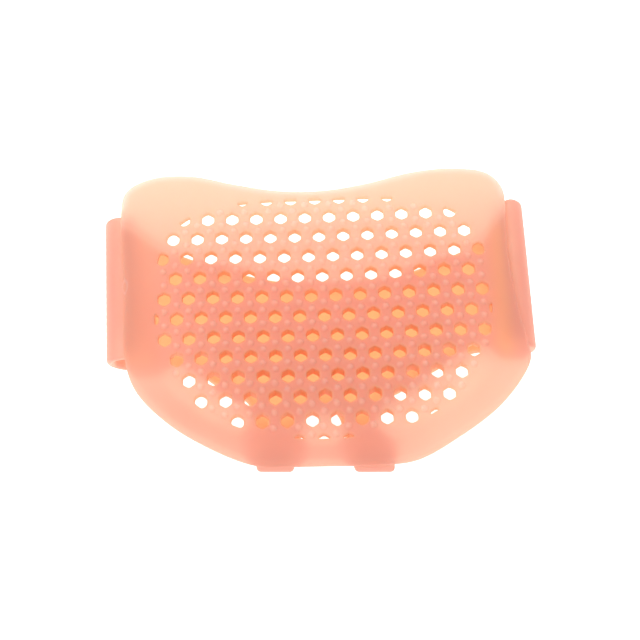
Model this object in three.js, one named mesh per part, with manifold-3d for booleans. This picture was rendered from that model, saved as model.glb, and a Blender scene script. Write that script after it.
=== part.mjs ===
// A gel metatarsal pad: a perforated cushion for the ball of the foot, held on by a band over the instep.
// It lies on its band with the sole up. X runs across the foot, +Y points to the heel, +Z is up, in millimetres.
import * as THREE from "three";
import { mergeVertices } from "three/addons/utils/BufferGeometryUtils.js";
import Module from "manifold-3d";

const wasm = await Module();
wasm.setup();

// Sole pad: its outline and its thickness
const padHalfWidth = 46.9;
const padHalfDepth = 36;
const rimEdge = 0.9; // thickness at the outline
const rimThickness = 1.5; // thickness of the smooth border inside it
const rimTaper = 0.07; // share of the way in over which the edge gains its thickness
const crownHeight = 3.6; // how far the cushion stands above the border at its fullest
const crownReach = 1.05; // where the cushion ends, as a share of the way out to the field's outline
const crownShoulder = 0.4; // share over which it slopes down to the border

// Perforated field of six-sided holes, with a grip nub where three holes meet
const fieldHalfWidth = 38.8;
const fieldHalfDepth = 28.7;
const fieldHeelPower = 3.7; // squareness of the field's outline on the heel side
const fieldToePower = 2.25; // and on the toe side
const holePitch = 5.65;
const holeWidth = 2.9; // between opposite flats
const fieldShiftX = -0.5; // the field's middle, from the pad's
const holeShiftX = -0.7; // a hole's middle in the middle row
const holeBow = 1.15; // rows at the field's heel and toe ends lie this much further left
const rowSag = 0.35; // the rows' middles lie this much towards the toes
const rowRise = 0.85; // and their ends this much further to the heel than their middles
const nubDiameter = 1.8;
const nubHeight = 0.55;
const nubRoot = 0.35; // how deep a nub's foot lies in the cushion
const nubMargin = 0.96; // nubs stand inside this share of the field

// Instep band and its two toe straps
const bandThickness = 2;
const footGap = 10; // clear height between the band and the pad
const seatGap = 0.3; // between the band's flange and the pad that it carries
const flangeLap = 3.6; // how far the flange reaches under the pad
const sideOverhang = 4; // how far the side folds stand out past the pad
const rightEdgeShare = 0.916; // the pad's right edge beside the band, as a share of the pad's half width
const rightFoldLean = 2; // the right fold stands further out at the pad's toe end by this much
const toeOverhang = 0.25; // how far the toe straps' folds stand out past the pad's edge
const toeFoldLean = 1.8; // the toe fold's line leans this much further out at the pad's right edge
const sideBend = 5; // outer radius where the flange turns down, at the sides
const toeBend = 2.7; // and at the toe straps
const sideReach = 9; // how far in from its fold the band comes to the floor
const toeReach = 14;
const toeWindowRadius = 4.4; // round end of the slot between the two straps
const toeWindowDepth = 17; // from the pad's toe edge to the top of that slot
const toeRootShare = -0.43; // where the band's toe edge meets the straps, as a share of the pad's half depth

// Where the parts stand above the floor
const padUnderside = bandThickness + footGap;
const flangeTop = padUnderside - seatGap;
const cutPast = 2; // a cut runs this far past what it cuts
const sliver = 0.004; // edges shorter than this, left by the cuts, are merged away

const gel = new THREE.MeshStandardMaterial({ color: 0xf59a7c, roughness: 0.42, metalness: 0 });
const bandGel = new THREE.MeshStandardMaterial({ color: 0xf8aa80, roughness: 0.45, metalness: 0 });

// The pad's outline, clockwise from the left edge, as shares of its half width and half depth.
const padOutline = [
  { across: -1.01, along: 0.72 },
  { across: -0.985, along: 0.895 },
  { across: -0.86, along: 0.985 },
  { across: -0.66, along: 0.996 },
  { across: -0.44, along: 0.928 },
  { across: -0.22, along: 0.872 },
  { across: 0.0, along: 0.863 },
  { across: 0.22, along: 0.902 },
  { across: 0.45, along: 0.97 },
  { across: 0.66, along: 0.988 },
  { across: 0.83, along: 0.945 },
  { across: 0.9, along: 0.84 },
  { across: 0.91, along: 0.7 },
  { across: 0.905, along: 0.5 },
  { across: 0.93, along: 0.1 },
  { across: 0.972, along: -0.2 },
  { across: 0.985, along: -0.32 },
  { across: 0.945, along: -0.435 },
  { across: 0.818, along: -0.632 },
  { across: 0.62, along: -0.818 },
  { across: 0.4, along: -0.965 },
  { across: 0.2, along: -0.985 },
  { across: 0.0, along: -0.982 },
  { across: -0.2, along: -0.977 },
  { across: -0.38, along: -0.96 },
  { across: -0.6, along: -0.835 },
  { across: -0.8, along: -0.66 },
  { across: -0.945, along: -0.45 },
  { across: -0.995, along: -0.25 },
  { across: -1.0, along: 0.25 },
];

// How full the cushion is from its heel end to its toe end: shares of the half depth and of the crown.
const crownRows = [
  { along: 1.0, fullness: 0.3 },
  { along: 0.5, fullness: 0.42 },
  { along: 0.1, fullness: 0.45 },
  { along: -0.5, fullness: 1.0 },
  { along: -1.0, fullness: 0.75 },
];

// The band's two edges on the floor, left to right: shares of the pad's half width, and of its half depth.
const bandEdges = [
  { across: -1.2, heel: 0.745, toe: -0.222 },
  { across: -1.05, heel: 0.75, toe: -0.222 },
  { across: -0.93, heel: 0.72, toe: -0.222 },
  { across: -0.8, heel: 0.605, toe: -0.222 },
  { across: -0.67, heel: 0.53, toe: -0.24 },
  { across: -0.57, heel: 0.475, toe: -0.34 },
  { across: -0.46, heel: 0.43, toe: -0.43 },
  { across: -0.25, heel: 0.36, toe: -0.5 },
  { across: 0.06, heel: 0.308, toe: -0.505 },
  { across: 0.3, heel: 0.335, toe: -0.46 },
  { across: 0.47, heel: 0.405, toe: -0.335 },
  { across: 0.6, heel: 0.47, toe: -0.25 },
  { across: 0.74, heel: 0.545, toe: -0.18 },
  { across: 0.86, heel: 0.69, toe: -0.2 },
  { across: 0.94, heel: 0.78, toe: -0.22 },
  { across: 1.05, heel: 0.767, toe: -0.235 },
  { across: 1.2, heel: 0.76, toe: -0.24 },
];

// Edges of the two toe straps, from their root to their fold: x as shares of the pad's half width.
const toeStraps = {
  leftOuter: { root: -0.395, fold: -0.37 },
  leftInner: { root: -0.138, fold: -0.195 },
  rightInner: { root: 0.052, fold: 0.103 },
  rightOuter: { root: 0.235, fold: 0.29 },
};

// Meshes and solids
function solidOf(geometry) {
  const bare = new THREE.BufferGeometry();
  bare.setAttribute("position", geometry.getAttribute("position"));
  bare.setIndex(geometry.getIndex());
  const merged = mergeVertices(bare, 1e-4);
  const index = merged.getIndex().array.slice();
  return new wasm.Manifold(
    new wasm.Mesh({
      numProp: 3,
      vertProperties: merged.getAttribute("position").array,
      triVerts: new Uint32Array(index),
    }),
  );
}

function geometryOf(solid) {
  const { numProp, vertProperties, triVerts } = solid.getMesh();
  const position = new Float32Array((vertProperties.length / numProp) * 3);
  for (let v = 0; v < position.length / 3; v++) {
    for (let axis = 0; axis < 3; axis++) {
      position[v * 3 + axis] = vertProperties[v * numProp + axis];
    }
  }
  const geometry = new THREE.BufferGeometry();
  geometry.setAttribute("position", new THREE.BufferAttribute(position, 3));
  geometry.setIndex(new THREE.BufferAttribute(triVerts.slice(), 1));
  return geometry.toNonIndexed();
}

function named(name, solid, material) {
  const geometry = geometryOf(solid);
  geometry.computeVertexNormals();
  const mesh = new THREE.Mesh(geometry, material);
  mesh.name = name;
  return mesh;
}

function smoothStep(share) {
  const s = Math.min(Math.max(share, 0), 1);
  return s * s * (3 - 2 * s);
}

// Points evenly spaced round the pad's outline.
function outlinePoints(count) {
  const knots = padOutline.map(
    ({ across, along }) => new THREE.Vector3(across * padHalfWidth, along * padHalfDepth, 0),
  );
  const curve = new THREE.CatmullRomCurve3(knots, true, "centripetal");
  return curve.getSpacedPoints(count).slice(0, count);
}

// How far a row of holes lies to the heel of its straight line.
function rowShift(x) {
  return rowRise * ((x - fieldShiftX) / fieldHalfWidth) ** 2 - rowSag;
}

// How far x, y lies out from the field's middle: 1 is its outline.
function fieldRadius(x, y) {
  const row = y - rowShift(x);
  const power = row > 0 ? fieldHeelPower : fieldToePower;
  const across = Math.abs((x - fieldShiftX) / fieldHalfWidth) ** power;
  const along = Math.abs(row / fieldHalfDepth) ** power;
  return (across + along) ** (1 / power);
}

// Height of the pad's upper face over its flat underside, at a share of the way out to the outline.
function padThickness(x, y, wayOut) {
  const border = THREE.MathUtils.lerp(rimThickness, rimEdge, smoothStep((wayOut - 1) / rimTaper + 1));
  const slope = smoothStep((crownReach - fieldRadius(x, y)) / crownShoulder);
  return border + crownHeight * slope * crownShare(y / padHalfDepth);
}

// The cushion's fullness at a share of the pad's half depth, from the table.
function crownShare(along) {
  const passed = crownRows.filter((row) => row.along >= along).length;
  const after = Math.min(Math.max(passed, 1), crownRows.length - 1);
  const [from, to] = [crownRows[after - 1], crownRows[after]];
  const share = smoothStep((from.along - along) / (from.along - to.along));
  return THREE.MathUtils.lerp(from.fullness, to.fullness, share);
}

// The pad before it is pierced: rings of points from the middle out to the outline.
// The inner rings follow the field, where the cushion slopes, and the last two the pad's edge.
function padBlank() {
  const fieldRings = [0.4, 0.65, 0.8, 0.92];
  const edgeRings = [1 - rimTaper, 1];
  const rings = fieldRings.length + edgeRings.length;
  const outline = outlinePoints(64);
  const count = outline.length;
  const points = [];
  const faces = [];
  points.push(0, 0, padUnderside + padThickness(0, 0, 0));
  const addRing = (shareAt) => {
    for (const { x, y } of outline) {
      const share = shareAt(x, y);
      points.push(x * share, y * share, padUnderside + padThickness(x * share, y * share, share));
    }
  };
  for (const ring of fieldRings) {
    addRing((x, y) => ring * Math.min(1 / fieldRadius(x, y), 1 - rimTaper));
  }
  for (const ring of edgeRings) {
    addRing(() => ring);
  }
  const underRing = points.length / 3;
  for (const { x, y } of outline) {
    points.push(x, y, padUnderside);
  }
  const underMiddle = points.length / 3;
  points.push(0, 0, padUnderside);
  for (let i = 0; i < count; i++) {
    const next = (i + 1) % count;
    faces.push(0, 1 + next, 1 + i);
    for (let ring = 0; ring < rings; ring++) {
      const inner = 1 + ring * count;
      const outer = inner + count; // the ring after the last is the underside's
      faces.push(inner + i, inner + next, outer + i);
      faces.push(inner + next, outer + next, outer + i);
    }
    faces.push(underMiddle, underRing + i, underRing + next);
  }
  const geometry = new THREE.BufferGeometry();
  geometry.setAttribute("position", new THREE.Float32BufferAttribute(points, 3));
  geometry.setIndex(faces);
  return solidOf(geometry);
}

// Every site of the hexagonal grid that the field covers.
function gridSites() {
  const rowPitch = (holePitch * Math.sqrt(3)) / 2;
  const rows = Math.ceil(fieldHalfDepth / rowPitch);
  const columns = Math.ceil(fieldHalfWidth / holePitch);
  const sites = [];
  for (let row = -rows; row <= rows; row++) {
    const y = row * rowPitch;
    const shift = holeShiftX + (row % 2 === 0 ? 0 : holePitch / 2) - holeBow * (y / fieldHalfDepth) ** 2;
    for (let column = -columns; column <= columns; column++) {
      const x = shift + column * holePitch;
      sites.push({ x, y: y + rowShift(x) });
    }
  }
  return sites;
}

// A hole is cut where it lies whole inside the field. The partly covered ones at its border aren't.
function liesWhole({ x, y }) {
  const reach = holeWidth / Math.sqrt(3);
  return fieldRadius(x + Math.sign(x - fieldShiftX) * reach, y + Math.sign(y) * reach) < 1;
}

// The two spots above and beside a site where three holes meet.
function nubSpots({ x, y }) {
  const away = holePitch / Math.sqrt(3);
  return [
    { x, y: y + away },
    { x: x + holePitch / 2, y: y + away / 2 },
  ].filter((spot) => fieldRadius(spot.x, spot.y) < nubMargin);
}

function hexPrism({ x, y }) {
  const tall = rimThickness + crownHeight + 2 * cutPast;
  const prism = new THREE.CylinderGeometry(holeWidth / Math.sqrt(3), holeWidth / Math.sqrt(3), tall, 6);
  prism.rotateX(Math.PI / 2);
  prism.translate(x, y, padUnderside + tall / 2 - cutPast);
  return solidOf(prism);
}

function nub({ x, y }) {
  const cone = new THREE.ConeGeometry(nubDiameter / 2, nubHeight + nubRoot, 5);
  cone.rotateX(Math.PI / 2);
  const face = padUnderside + padThickness(x, y, 0);
  cone.translate(x, y, face + (nubHeight - nubRoot) / 2);
  return solidOf(cone);
}

function solePad() {
  const sites = gridSites();
  const nubs = sites.flatMap(nubSpots).map(nub);
  const holes = sites.filter(liesWhole).map(hexPrism);
  const pierced = wasm.Manifold.union([padBlank(), ...nubs]).subtract(wasm.Manifold.union(holes));
  return pierced.simplify(sliver);
}

// Where the pad's outline lies, for the band to follow
const outlineBox = new THREE.Box3().setFromPoints(outlinePoints(400));
const leftFold = outlineBox.min.x - sideOverhang;
const rightFold = rightEdgeShare * padHalfWidth + sideOverhang;
const toeFold = outlineBox.min.y - toeOverhang;

// A quarter of an ellipse round a middle, from one angle to another in quarter turns.
function quarter(middleX, middleZ, radiusX, radiusZ, from, to) {
  const steps = 6;
  const points = [];
  for (let i = 0; i <= steps; i++) {
    const angle = THREE.MathUtils.lerp(from, to, i / steps) * (Math.PI / 2);
    points.push(
      new THREE.Vector2(middleX + radiusX * Math.cos(angle), middleZ + radiusZ * Math.sin(angle)),
    );
  }
  return points;
}

// One fold seen along it: flange end, upper bend, lower bend and floor. It opens to the right.
// inset is 0 for its outer face and the wall's thickness for its inner one.
function foldLine({ foldX, flangeEnd, bend, reach }, inset) {
  const middle = flangeTop - bend;
  return [
    new THREE.Vector2(flangeEnd, flangeTop - inset),
    ...quarter(foldX + bend, middle, bend - inset, bend - inset, 1, 2),
    ...quarter(foldX + reach, middle, reach - inset, middle - inset, 2, 3).slice(1),
  ];
}

function mirrored(points) {
  return points.map(({ x, y }) => new THREE.Vector2(-x, y)).reverse();
}

// The strap across the instep: a C section through both side folds, drawn along Y and cut to its plan.
function sideLoop() {
  const left = {
    foldX: leftFold,
    flangeEnd: outlineBox.min.x + flangeLap,
    bend: sideBend,
    reach: sideReach,
  };
  const right = { ...left, foldX: -rightFold, flangeEnd: flangeLap + sideOverhang - rightFold };
  const section = new THREE.Shape([
    ...foldLine(left, 0),
    ...mirrored(foldLine(right, 0)),
    ...mirrored(foldLine(right, bandThickness)).reverse(),
    ...foldLine(left, bandThickness).reverse(),
  ]);
  const loop = new THREE.ExtrudeGeometry(section, { depth: 2 * padHalfDepth, bevelEnabled: false });
  loop.rotateX(Math.PI / 2);
  loop.translate(0, padHalfDepth, 0);
  const position = loop.getAttribute("position");
  for (let i = 0; i < position.count; i++) {
    const x = position.getX(i);
    const lean = (rightFoldLean * (1 - position.getY(i) / padHalfDepth)) / 2;
    if (x > 0) position.setX(i, x + (lean * x) / rightFold);
  }
  const edges = (side) =>
    bandEdges.map((row) => new THREE.Vector2(row.across * padHalfWidth, row[side] * padHalfDepth));
  const heelCurve = new THREE.SplineCurve(edges("heel")).getPoints(26);
  const toeCurve = new THREE.SplineCurve(edges("toe")).getPoints(39);
  const plan = new THREE.Shape([...toeCurve, ...heelCurve.reverse()]);
  return solidOf(loop).intersect(standing(plan));
}

// A plan shape drawn up past the whole band.
function standing(plan) {
  const depth = padUnderside + 2 * cutPast;
  const prism = new THREE.ExtrudeGeometry(plan, { depth, bevelEnabled: false });
  prism.translate(0, 0, -cutPast);
  return solidOf(prism);
}

// The two toe straps: a J section through the toe fold, drawn along X and cut to the straps' plan.
function toeStrapPair() {
  const fold = {
    foldX: toeFold,
    flangeEnd: outlineBox.min.y + flangeLap,
    bend: toeBend,
    reach: toeReach,
  };
  const windowTop = outlineBox.min.y + toeWindowDepth;
  const root = Math.max(windowTop + toeWindowRadius / 2, toeRootShare * padHalfDepth);
  const section = new THREE.Shape([
    ...foldLine(fold, 0),
    new THREE.Vector2(root, 0),
    new THREE.Vector2(root, bandThickness),
    ...foldLine(fold, bandThickness).reverse(),
  ]);
  const tray = new THREE.ExtrudeGeometry(section, { depth: 2 * padHalfWidth, bevelEnabled: false });
  tray.translate(0, 0, -padHalfWidth);
  const alongX = new THREE.Matrix4().makeBasis(
    new THREE.Vector3(0, 1, 0),
    new THREE.Vector3(0, 0, 1),
    new THREE.Vector3(1, 0, 0),
  );
  tray.applyMatrix4(alongX);
  const position = tray.getAttribute("position");
  for (let i = 0; i < position.count; i++) {
    position.setY(i, position.getY(i) - (toeFoldLean * position.getX(i)) / padHalfWidth);
  }
  return solidOf(tray).intersect(standing(toePlan(windowTop, root)));
}

function toePlan(windowTop, root) {
  const x = (edge, end) => toeStraps[edge][end] * padHalfWidth;
  const front = toeFold - cutPast;
  const arcY = windowTop - toeWindowRadius;
  const arcX = (x("leftInner", "root") + x("rightInner", "root")) / 2;
  const plan = new THREE.Shape();
  plan.moveTo(x("leftOuter", "root"), root);
  plan.lineTo(x("leftOuter", "root"), arcY);
  plan.lineTo(x("leftOuter", "fold"), front);
  plan.lineTo(x("leftInner", "fold"), front);
  plan.lineTo(arcX - toeWindowRadius, arcY);
  plan.absarc(arcX, arcY, toeWindowRadius, Math.PI, 0, true);
  plan.lineTo(x("rightInner", "fold"), front);
  plan.lineTo(x("rightOuter", "fold"), front);
  plan.lineTo(x("rightOuter", "root"), arcY);
  plan.lineTo(x("rightOuter", "root"), root);
  return plan;
}

const metatarsalPad = new THREE.Group();
metatarsalPad.add(named("sole_pad", solePad(), gel));
metatarsalPad.add(named("instep_band", sideLoop().add(toeStrapPair()), bandGel));

// The origin is on the floor under the middle of the whole part.
const whole = new THREE.Box3().setFromObject(metatarsalPad);
metatarsalPad.position.set(-(whole.min.x + whole.max.x) / 2, -(whole.min.y + whole.max.y) / 2, -whole.min.z);

export default metatarsalPad;
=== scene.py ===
# %% [markdown]
# # A gel metatarsal pad
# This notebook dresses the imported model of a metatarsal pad: a soft gel cushion for the ball of the foot.
# The cushion is pierced by a honeycomb of holes, and a band of the same gel holds it over the instep.
# It lies on that band with the sole up, so light from below glows through the thin parts of the gel.
# The real thing is moulded in one go. Here it is worked out in flat plans, which are easy to measure, and
# the plans are then lifted or folded into space. Colour follows from how much gel the light has passed.

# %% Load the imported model
import bpy
import math
import numpy as np
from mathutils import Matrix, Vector
from mathutils.geometry import delaunay_2d_cdt


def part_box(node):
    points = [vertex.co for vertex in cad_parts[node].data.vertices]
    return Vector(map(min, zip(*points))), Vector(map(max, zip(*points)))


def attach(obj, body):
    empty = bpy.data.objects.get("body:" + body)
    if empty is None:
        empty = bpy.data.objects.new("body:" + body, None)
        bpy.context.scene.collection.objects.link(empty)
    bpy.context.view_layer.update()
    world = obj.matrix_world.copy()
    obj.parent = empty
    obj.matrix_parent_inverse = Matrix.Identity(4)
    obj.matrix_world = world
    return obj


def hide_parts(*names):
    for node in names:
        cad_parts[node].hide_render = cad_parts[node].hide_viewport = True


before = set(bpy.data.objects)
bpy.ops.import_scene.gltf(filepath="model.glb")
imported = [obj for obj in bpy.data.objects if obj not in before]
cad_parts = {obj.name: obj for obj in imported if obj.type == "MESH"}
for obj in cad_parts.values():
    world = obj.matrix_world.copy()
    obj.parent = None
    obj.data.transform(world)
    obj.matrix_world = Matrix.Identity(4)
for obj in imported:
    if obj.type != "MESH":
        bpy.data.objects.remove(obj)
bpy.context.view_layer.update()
print("CAD nodes:", sorted(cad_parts))

# %% [markdown]
# ## Named sizes
# All lengths are in millimetres until the meshes are made. X runs across the foot, +Y points to the heel
# and Z is the height over the floor. The main sizes of the pad stand here, so that a change is made in one
# place. Small ones stand in the step that uses them.
# Most are those of the CAD model. The holes, the nubs and the line that cuts the border holes off were
# fitted to the real pad once more, and differ from the model by less than half a millimetre.

# %% Named sizes
pad_half_width = 46.9
pad_half_depth = 36.0
rim_thickness = 1.5
crown_height = 3.6
crown_reach = 1.05
crown_shoulder = 0.4
field_half_width = 38.8
field_half_depth = 28.7
field_heel_power = 3.7
field_toe_power = 2.25
field_shift_x = -0.5
hole_pitch = 5.65
hole_width = 2.87
hole_corner = 0.7
hole_shift_x = -0.7
hole_bow = 1.15
row_sag = 0.35
row_rise = 0.85
hole_fillet = 0.45
clip_heel_power = 3.6
clip_heel_depth = 29.1
clip_shift_x = -0.35
nub_radius = 0.95
nub_height = 0.55
band_thickness = 2.0
foot_gap = 10.0
flange_lap = 3.6
side_overhang = 4.0
right_edge_share = 0.916
right_fold_lean = 2.0
toe_overhang = 0.25
toe_fold_lean = 1.8
side_bend = 5.0
side_reach = 9.0
toe_bend = 2.7
toe_reach = 14.0
window_radius = 4.4
window_depth = 17.0
pad_underside = band_thickness + foot_gap

pad_outline = np.array([  # across, along: shares of the pad's half width and half depth, clockwise
    (-1.01, 0.72), (-0.985, 0.895), (-0.86, 0.985), (-0.66, 0.996), (-0.44, 0.928), (-0.22, 0.872),
    (0.0, 0.863), (0.22, 0.902), (0.45, 0.97), (0.66, 0.988), (0.83, 0.945), (0.9, 0.84),
    (0.91, 0.7), (0.905, 0.5), (0.93, 0.1), (0.972, -0.2), (0.985, -0.32), (0.945, -0.435),
    (0.818, -0.632), (0.62, -0.818), (0.4, -0.965), (0.2, -0.985), (0.0, -0.982), (-0.2, -0.977),
    (-0.38, -0.96), (-0.6, -0.835), (-0.8, -0.66), (-0.945, -0.45), (-0.995, -0.25), (-1.0, 0.25),
])
crown_rows = np.array([  # along, fullness: shares of the half depth and of the crown's height
    (-1.0, 0.75), (-0.5, 1.0), (0.1, 0.45), (0.5, 0.42), (1.0, 0.3),
])
band_edges = np.array([  # across, heel edge, toe edge: shares of the half width and the half depth
    (-1.2, 0.745, -0.222), (-1.05, 0.75, -0.222), (-0.93, 0.72, -0.222), (-0.8, 0.605, -0.222),
    (-0.67, 0.53, -0.24), (-0.57, 0.475, -0.34), (-0.46, 0.43, -0.43), (-0.25, 0.36, -0.5),
    (0.06, 0.308, -0.505), (0.3, 0.335, -0.46), (0.47, 0.405, -0.335), (0.6, 0.47, -0.25),
    (0.74, 0.545, -0.18), (0.86, 0.69, -0.2), (0.94, 0.78, -0.22), (1.05, 0.767, -0.235),
    (1.2, 0.76, -0.24),
])
toe_straps = {  # x at the root and at the fold, shares of the half width
    "left_outer": (-0.395, -0.37),
    "left_inner": (-0.138, -0.195),
    "right_inner": (0.052, 0.103),
    "right_outer": (0.235, 0.29),
}

# %% [markdown]
# ## Curves
# The edge of a moulded pad is one soft closed line. It could be drawn by hand as a Bezier curve, but a
# short table of points is easier to compare with the model. So the outline is a Catmull-Rom curve, which
# passes through every point of its table. Each loop is resampled to even steps, which keeps the rings of
# points inside it regular.

# %% Curve helpers
def catmull_rom(knots, per_span=24):
    """A closed centripetal curve through the knots."""
    count = len(knots)
    spans = []
    for i in range(count):
        a, b, c, d = (knots[(i + k) % count] for k in (-1, 0, 1, 2))
        ab, bc, cd = (math.sqrt(np.linalg.norm(q - p)) for p, q in ((a, b), (b, c), (c, d)))
        leave = ((b - a) / ab - (c - a) / (ab + bc) + (c - b) / bc) * bc
        arrive = ((c - b) / bc - (d - b) / (bc + cd) + (d - c) / cd) * bc
        t = np.linspace(0, 1, per_span, endpoint=False)[:, None]
        spans.append(
            (2 * t**3 - 3 * t**2 + 1) * b + (t**3 - 2 * t**2 + t) * leave
            + (3 * t**2 - 2 * t**3) * c + (t**3 - t**2) * arrive
        )
    return np.concatenate(spans)


def resample(loop, count):
    """count points evenly spaced round a closed loop."""
    closed = np.vstack([loop, loop[:1]])
    along = np.concatenate([[0], np.cumsum(np.linalg.norm(np.diff(closed, axis=0), axis=1))])
    where = np.linspace(0, along[-1], count, endpoint=False)
    return np.stack([np.interp(where, along, closed[:, k]) for k in (0, 1)], 1)


def area_of(loop):
    """The area inside a loop, which is negative if it runs clockwise."""
    x, y = loop[:, 0], loop[:, 1]
    return 0.5 * float(np.sum(x * np.roll(y, -1) - np.roll(x, -1) * y))


def counter_clockwise(loop):
    """The loop, turned round where it runs clockwise."""
    return loop if area_of(loop) > 0 else loop[::-1]


def relax(loop, times):
    """Rounds a loop's corners off."""
    for _ in range(times):
        loop = 0.25 * np.roll(loop, 1, 0) + 0.5 * loop + 0.25 * np.roll(loop, -1, 0)
    return loop


def inset(loop, distance):
    """A counter-clockwise loop moved inwards by a distance, or outwards by a negative one."""
    tangent = np.roll(loop, -1, 0) - np.roll(loop, 1, 0)
    tangent /= np.linalg.norm(tangent, axis=1)[:, None]
    return loop + distance * np.stack([-tangent[:, 1], tangent[:, 0]], 1)


def smooth(share):
    """Eases from 0 to 1."""
    s = np.clip(share, 0, 1)
    return s * s * (3 - 2 * s)


def quarter_circle(distance, radius):
    """Rises from 0 to 1 over a radius, as the round edge of a moulded sheet does."""
    return np.sqrt(np.clip(1 - (1 - np.clip(distance / radius, 0, 1)) ** 2, 0, 1))


outline_count = 288
outline = catmull_rom(pad_outline * (pad_half_width, pad_half_depth))
outline = counter_clockwise(resample(outline, outline_count))
outline_low, outline_high = outline.min(0), outline.max(0)
cad_low, cad_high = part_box("sole_pad")
cad_middle = 500 * np.array([cad_low.x + cad_high.x, cad_low.y + cad_high.y])  # metres to mm, halved
shift = cad_middle - (outline_low + outline_high) / 2
print("Outline box in mm:", outline_low.round(2), outline_high.round(2), "shift", shift.round(3))

# %% [markdown]
# ## Where the holes and the nubs lie
# The holes let air through to the skin, and the nubs between them keep the pad from slipping. The grid's
# rows are bowed a little to the left at the heel and toe ends, as on the real pad. Instanced cutters and a
# Boolean could make the holes, but their rims would be sharp and ragged. So each hole is a loop of points,
# and its rim is rounded later by rings of points beside the loop.

# %% The hexagonal grid
def row_shift(x):
    """How far a row of holes lies to the heel of its straight line."""
    return row_rise * ((x - field_shift_x) / field_half_width) ** 2 - row_sag


def field_radius(x, y, heel_power=field_heel_power, heel_depth=field_half_depth):
    """How far out a point lies in the pierced field, which ends at 1."""
    row = y - row_shift(x)
    power = np.where(row > 0, heel_power, field_toe_power)
    depth = np.where(row > 0, heel_depth, field_half_depth)
    across = np.abs((x - field_shift_x) / field_half_width) ** power
    return (across + np.abs(row / depth) ** power) ** (1 / power)


def grid_sites(rows=7, columns=8):
    """The middles of the grid's cells, with this many rows and columns to each side of the middle."""
    row_pitch = hole_pitch * math.sqrt(3) / 2
    sites = []
    for row in range(-rows, rows + 1):
        y = row * row_pitch
        start = hole_shift_x + (hole_pitch / 2 if row % 2 else 0) - hole_bow * (y / field_half_depth) ** 2
        sites += [(start + column * hole_pitch, y) for column in range(-columns, columns + 1)]
    sites = np.array(sites)
    sites[:, 1] += row_shift(sites[:, 0])
    return sites


hole_points = 24


def rounded_hexagon():
    """A six-sided hole with its points towards heel and toe, about the origin."""
    corner_out = (hole_width / 2 - hole_corner) / math.cos(math.radians(30))
    points = []
    for middle in np.radians(np.arange(30, 390, 60)):
        corner = np.array((math.cos(middle), math.sin(middle))) * corner_out
        for angle in middle + np.radians(np.linspace(-30, 30, hole_points // 6)):
            points.append(corner + hole_corner * np.array([math.cos(angle), math.sin(angle)]))
    return np.array(points)


sites = grid_sites()
hexagon = rounded_hexagon()
print("Cells of the grid:", len(sites), "and one hole's area:", round(area_of(hexagon), 2), "mm2")

# %% [markdown]
# ## The border of the pierced field
# On the real pad the holes stop at a rounded line, and those that it crosses are only partly open. The
# line is found by stretching an ellipse until it ends where the field does. A hole that crosses it is
# clipped edge by edge and rounded again, and less than an eighth of a hole is left out.

# %% Clip the outermost holes
def clipped(loop, border):
    """The part of a convex loop inside a counter-clockwise border, which is nearly straight beside it."""
    centre = loop.mean(0)
    for a, b in zip(border, np.roll(border, -1, 0)):
        if np.linalg.norm((a + b) / 2 - centre) > hole_pitch:
            continue
        edge = b - a
        side = edge[0] * (loop[:, 1] - a[1]) - edge[1] * (loop[:, 0] - a[0])
        if (side >= 0).all():
            continue
        kept = []
        for i in range(len(loop)):
            p, q, sp, sq = loop[i - 1], loop[i], side[i - 1], side[i]
            if (sp >= 0) != (sq >= 0):
                kept.append(p + (q - p) * sp / (sp - sq))
            if sq >= 0:
                kept.append(q)
        if len(kept) < 3:
            return np.zeros((0, 2))
        loop = np.array(kept)
    return loop


def clip_radius(x, y):
    """How far out a point lies in the field as its outermost holes are cut off, which ends at 1."""
    return field_radius(x - clip_shift_x, y, clip_heel_power, clip_heel_depth)


def field_border(count=160, rounds=8):
    """The line where the field's outermost holes are cut off, found in a few rounds from an ellipse."""
    angles = np.linspace(0, 2 * math.pi, count, endpoint=False)
    edge = np.stack([np.cos(angles) * field_half_width, np.sin(angles) * field_half_depth], 1)
    middle_x = field_shift_x + clip_shift_x
    for _ in range(rounds):
        edge = edge / clip_radius(edge[:, 0] + middle_x, edge[:, 1])[:, None]
    return edge + (middle_x, 0)


last_site = 1.08
smallest_hole = 1 / 8
nub_limit = 0.97
border = field_border()
holes = []
for site in sites:
    if clip_radius(*site) > last_site:
        continue
    hole = hexagon + site
    if clip_radius(hole[:, 0], hole[:, 1]).max() > 1:
        hole = clipped(hole, border)
        if len(hole) < 3 or area_of(hole) < area_of(hexagon) * smallest_hole:
            continue
        hole = resample(relax(resample(hole, hole_points), 1), hole_points)
    holes.append(hole)
nub_away = hole_pitch / math.sqrt(3)
nub_spots = np.concatenate([sites + (0, nub_away), sites + (hole_pitch / 2, nub_away / 2)])
nub_spots = nub_spots[field_radius(nub_spots[:, 0], nub_spots[:, 1]) < nub_limit]
print("Holes:", len(holes), "nubs:", len(nub_spots))

# %% [markdown]
# ## The height of the cushion
# A gel cushion is fullest under the ball of the foot and thin at its border. It could be sculpted, but a
# function gives the same height to the mesh and to its colour, so a short table of rows sets it here.

# %% The cushion's height
def thickness(x, y):
    """The cushion's height over its foot side."""
    slope = smooth((crown_reach - field_radius(x, y)) / crown_shoulder)
    along = np.clip(y / pad_half_depth, -1, 1)
    fullness = np.full_like(along, crown_rows[0, 1])
    for (a, low), (b, high) in zip(crown_rows[:-1], crown_rows[1:]):
        between = (along >= a) & (along <= b)
        fullness = np.where(between, low + (high - low) * smooth((along - a) / (b - a)), fullness)
    return rim_thickness + crown_height * slope * fullness


middle_line = np.linspace(-pad_half_depth, pad_half_depth, 7)
print("Height in mm from toe to heel:", thickness(np.zeros(7), middle_line).round(1))

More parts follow.
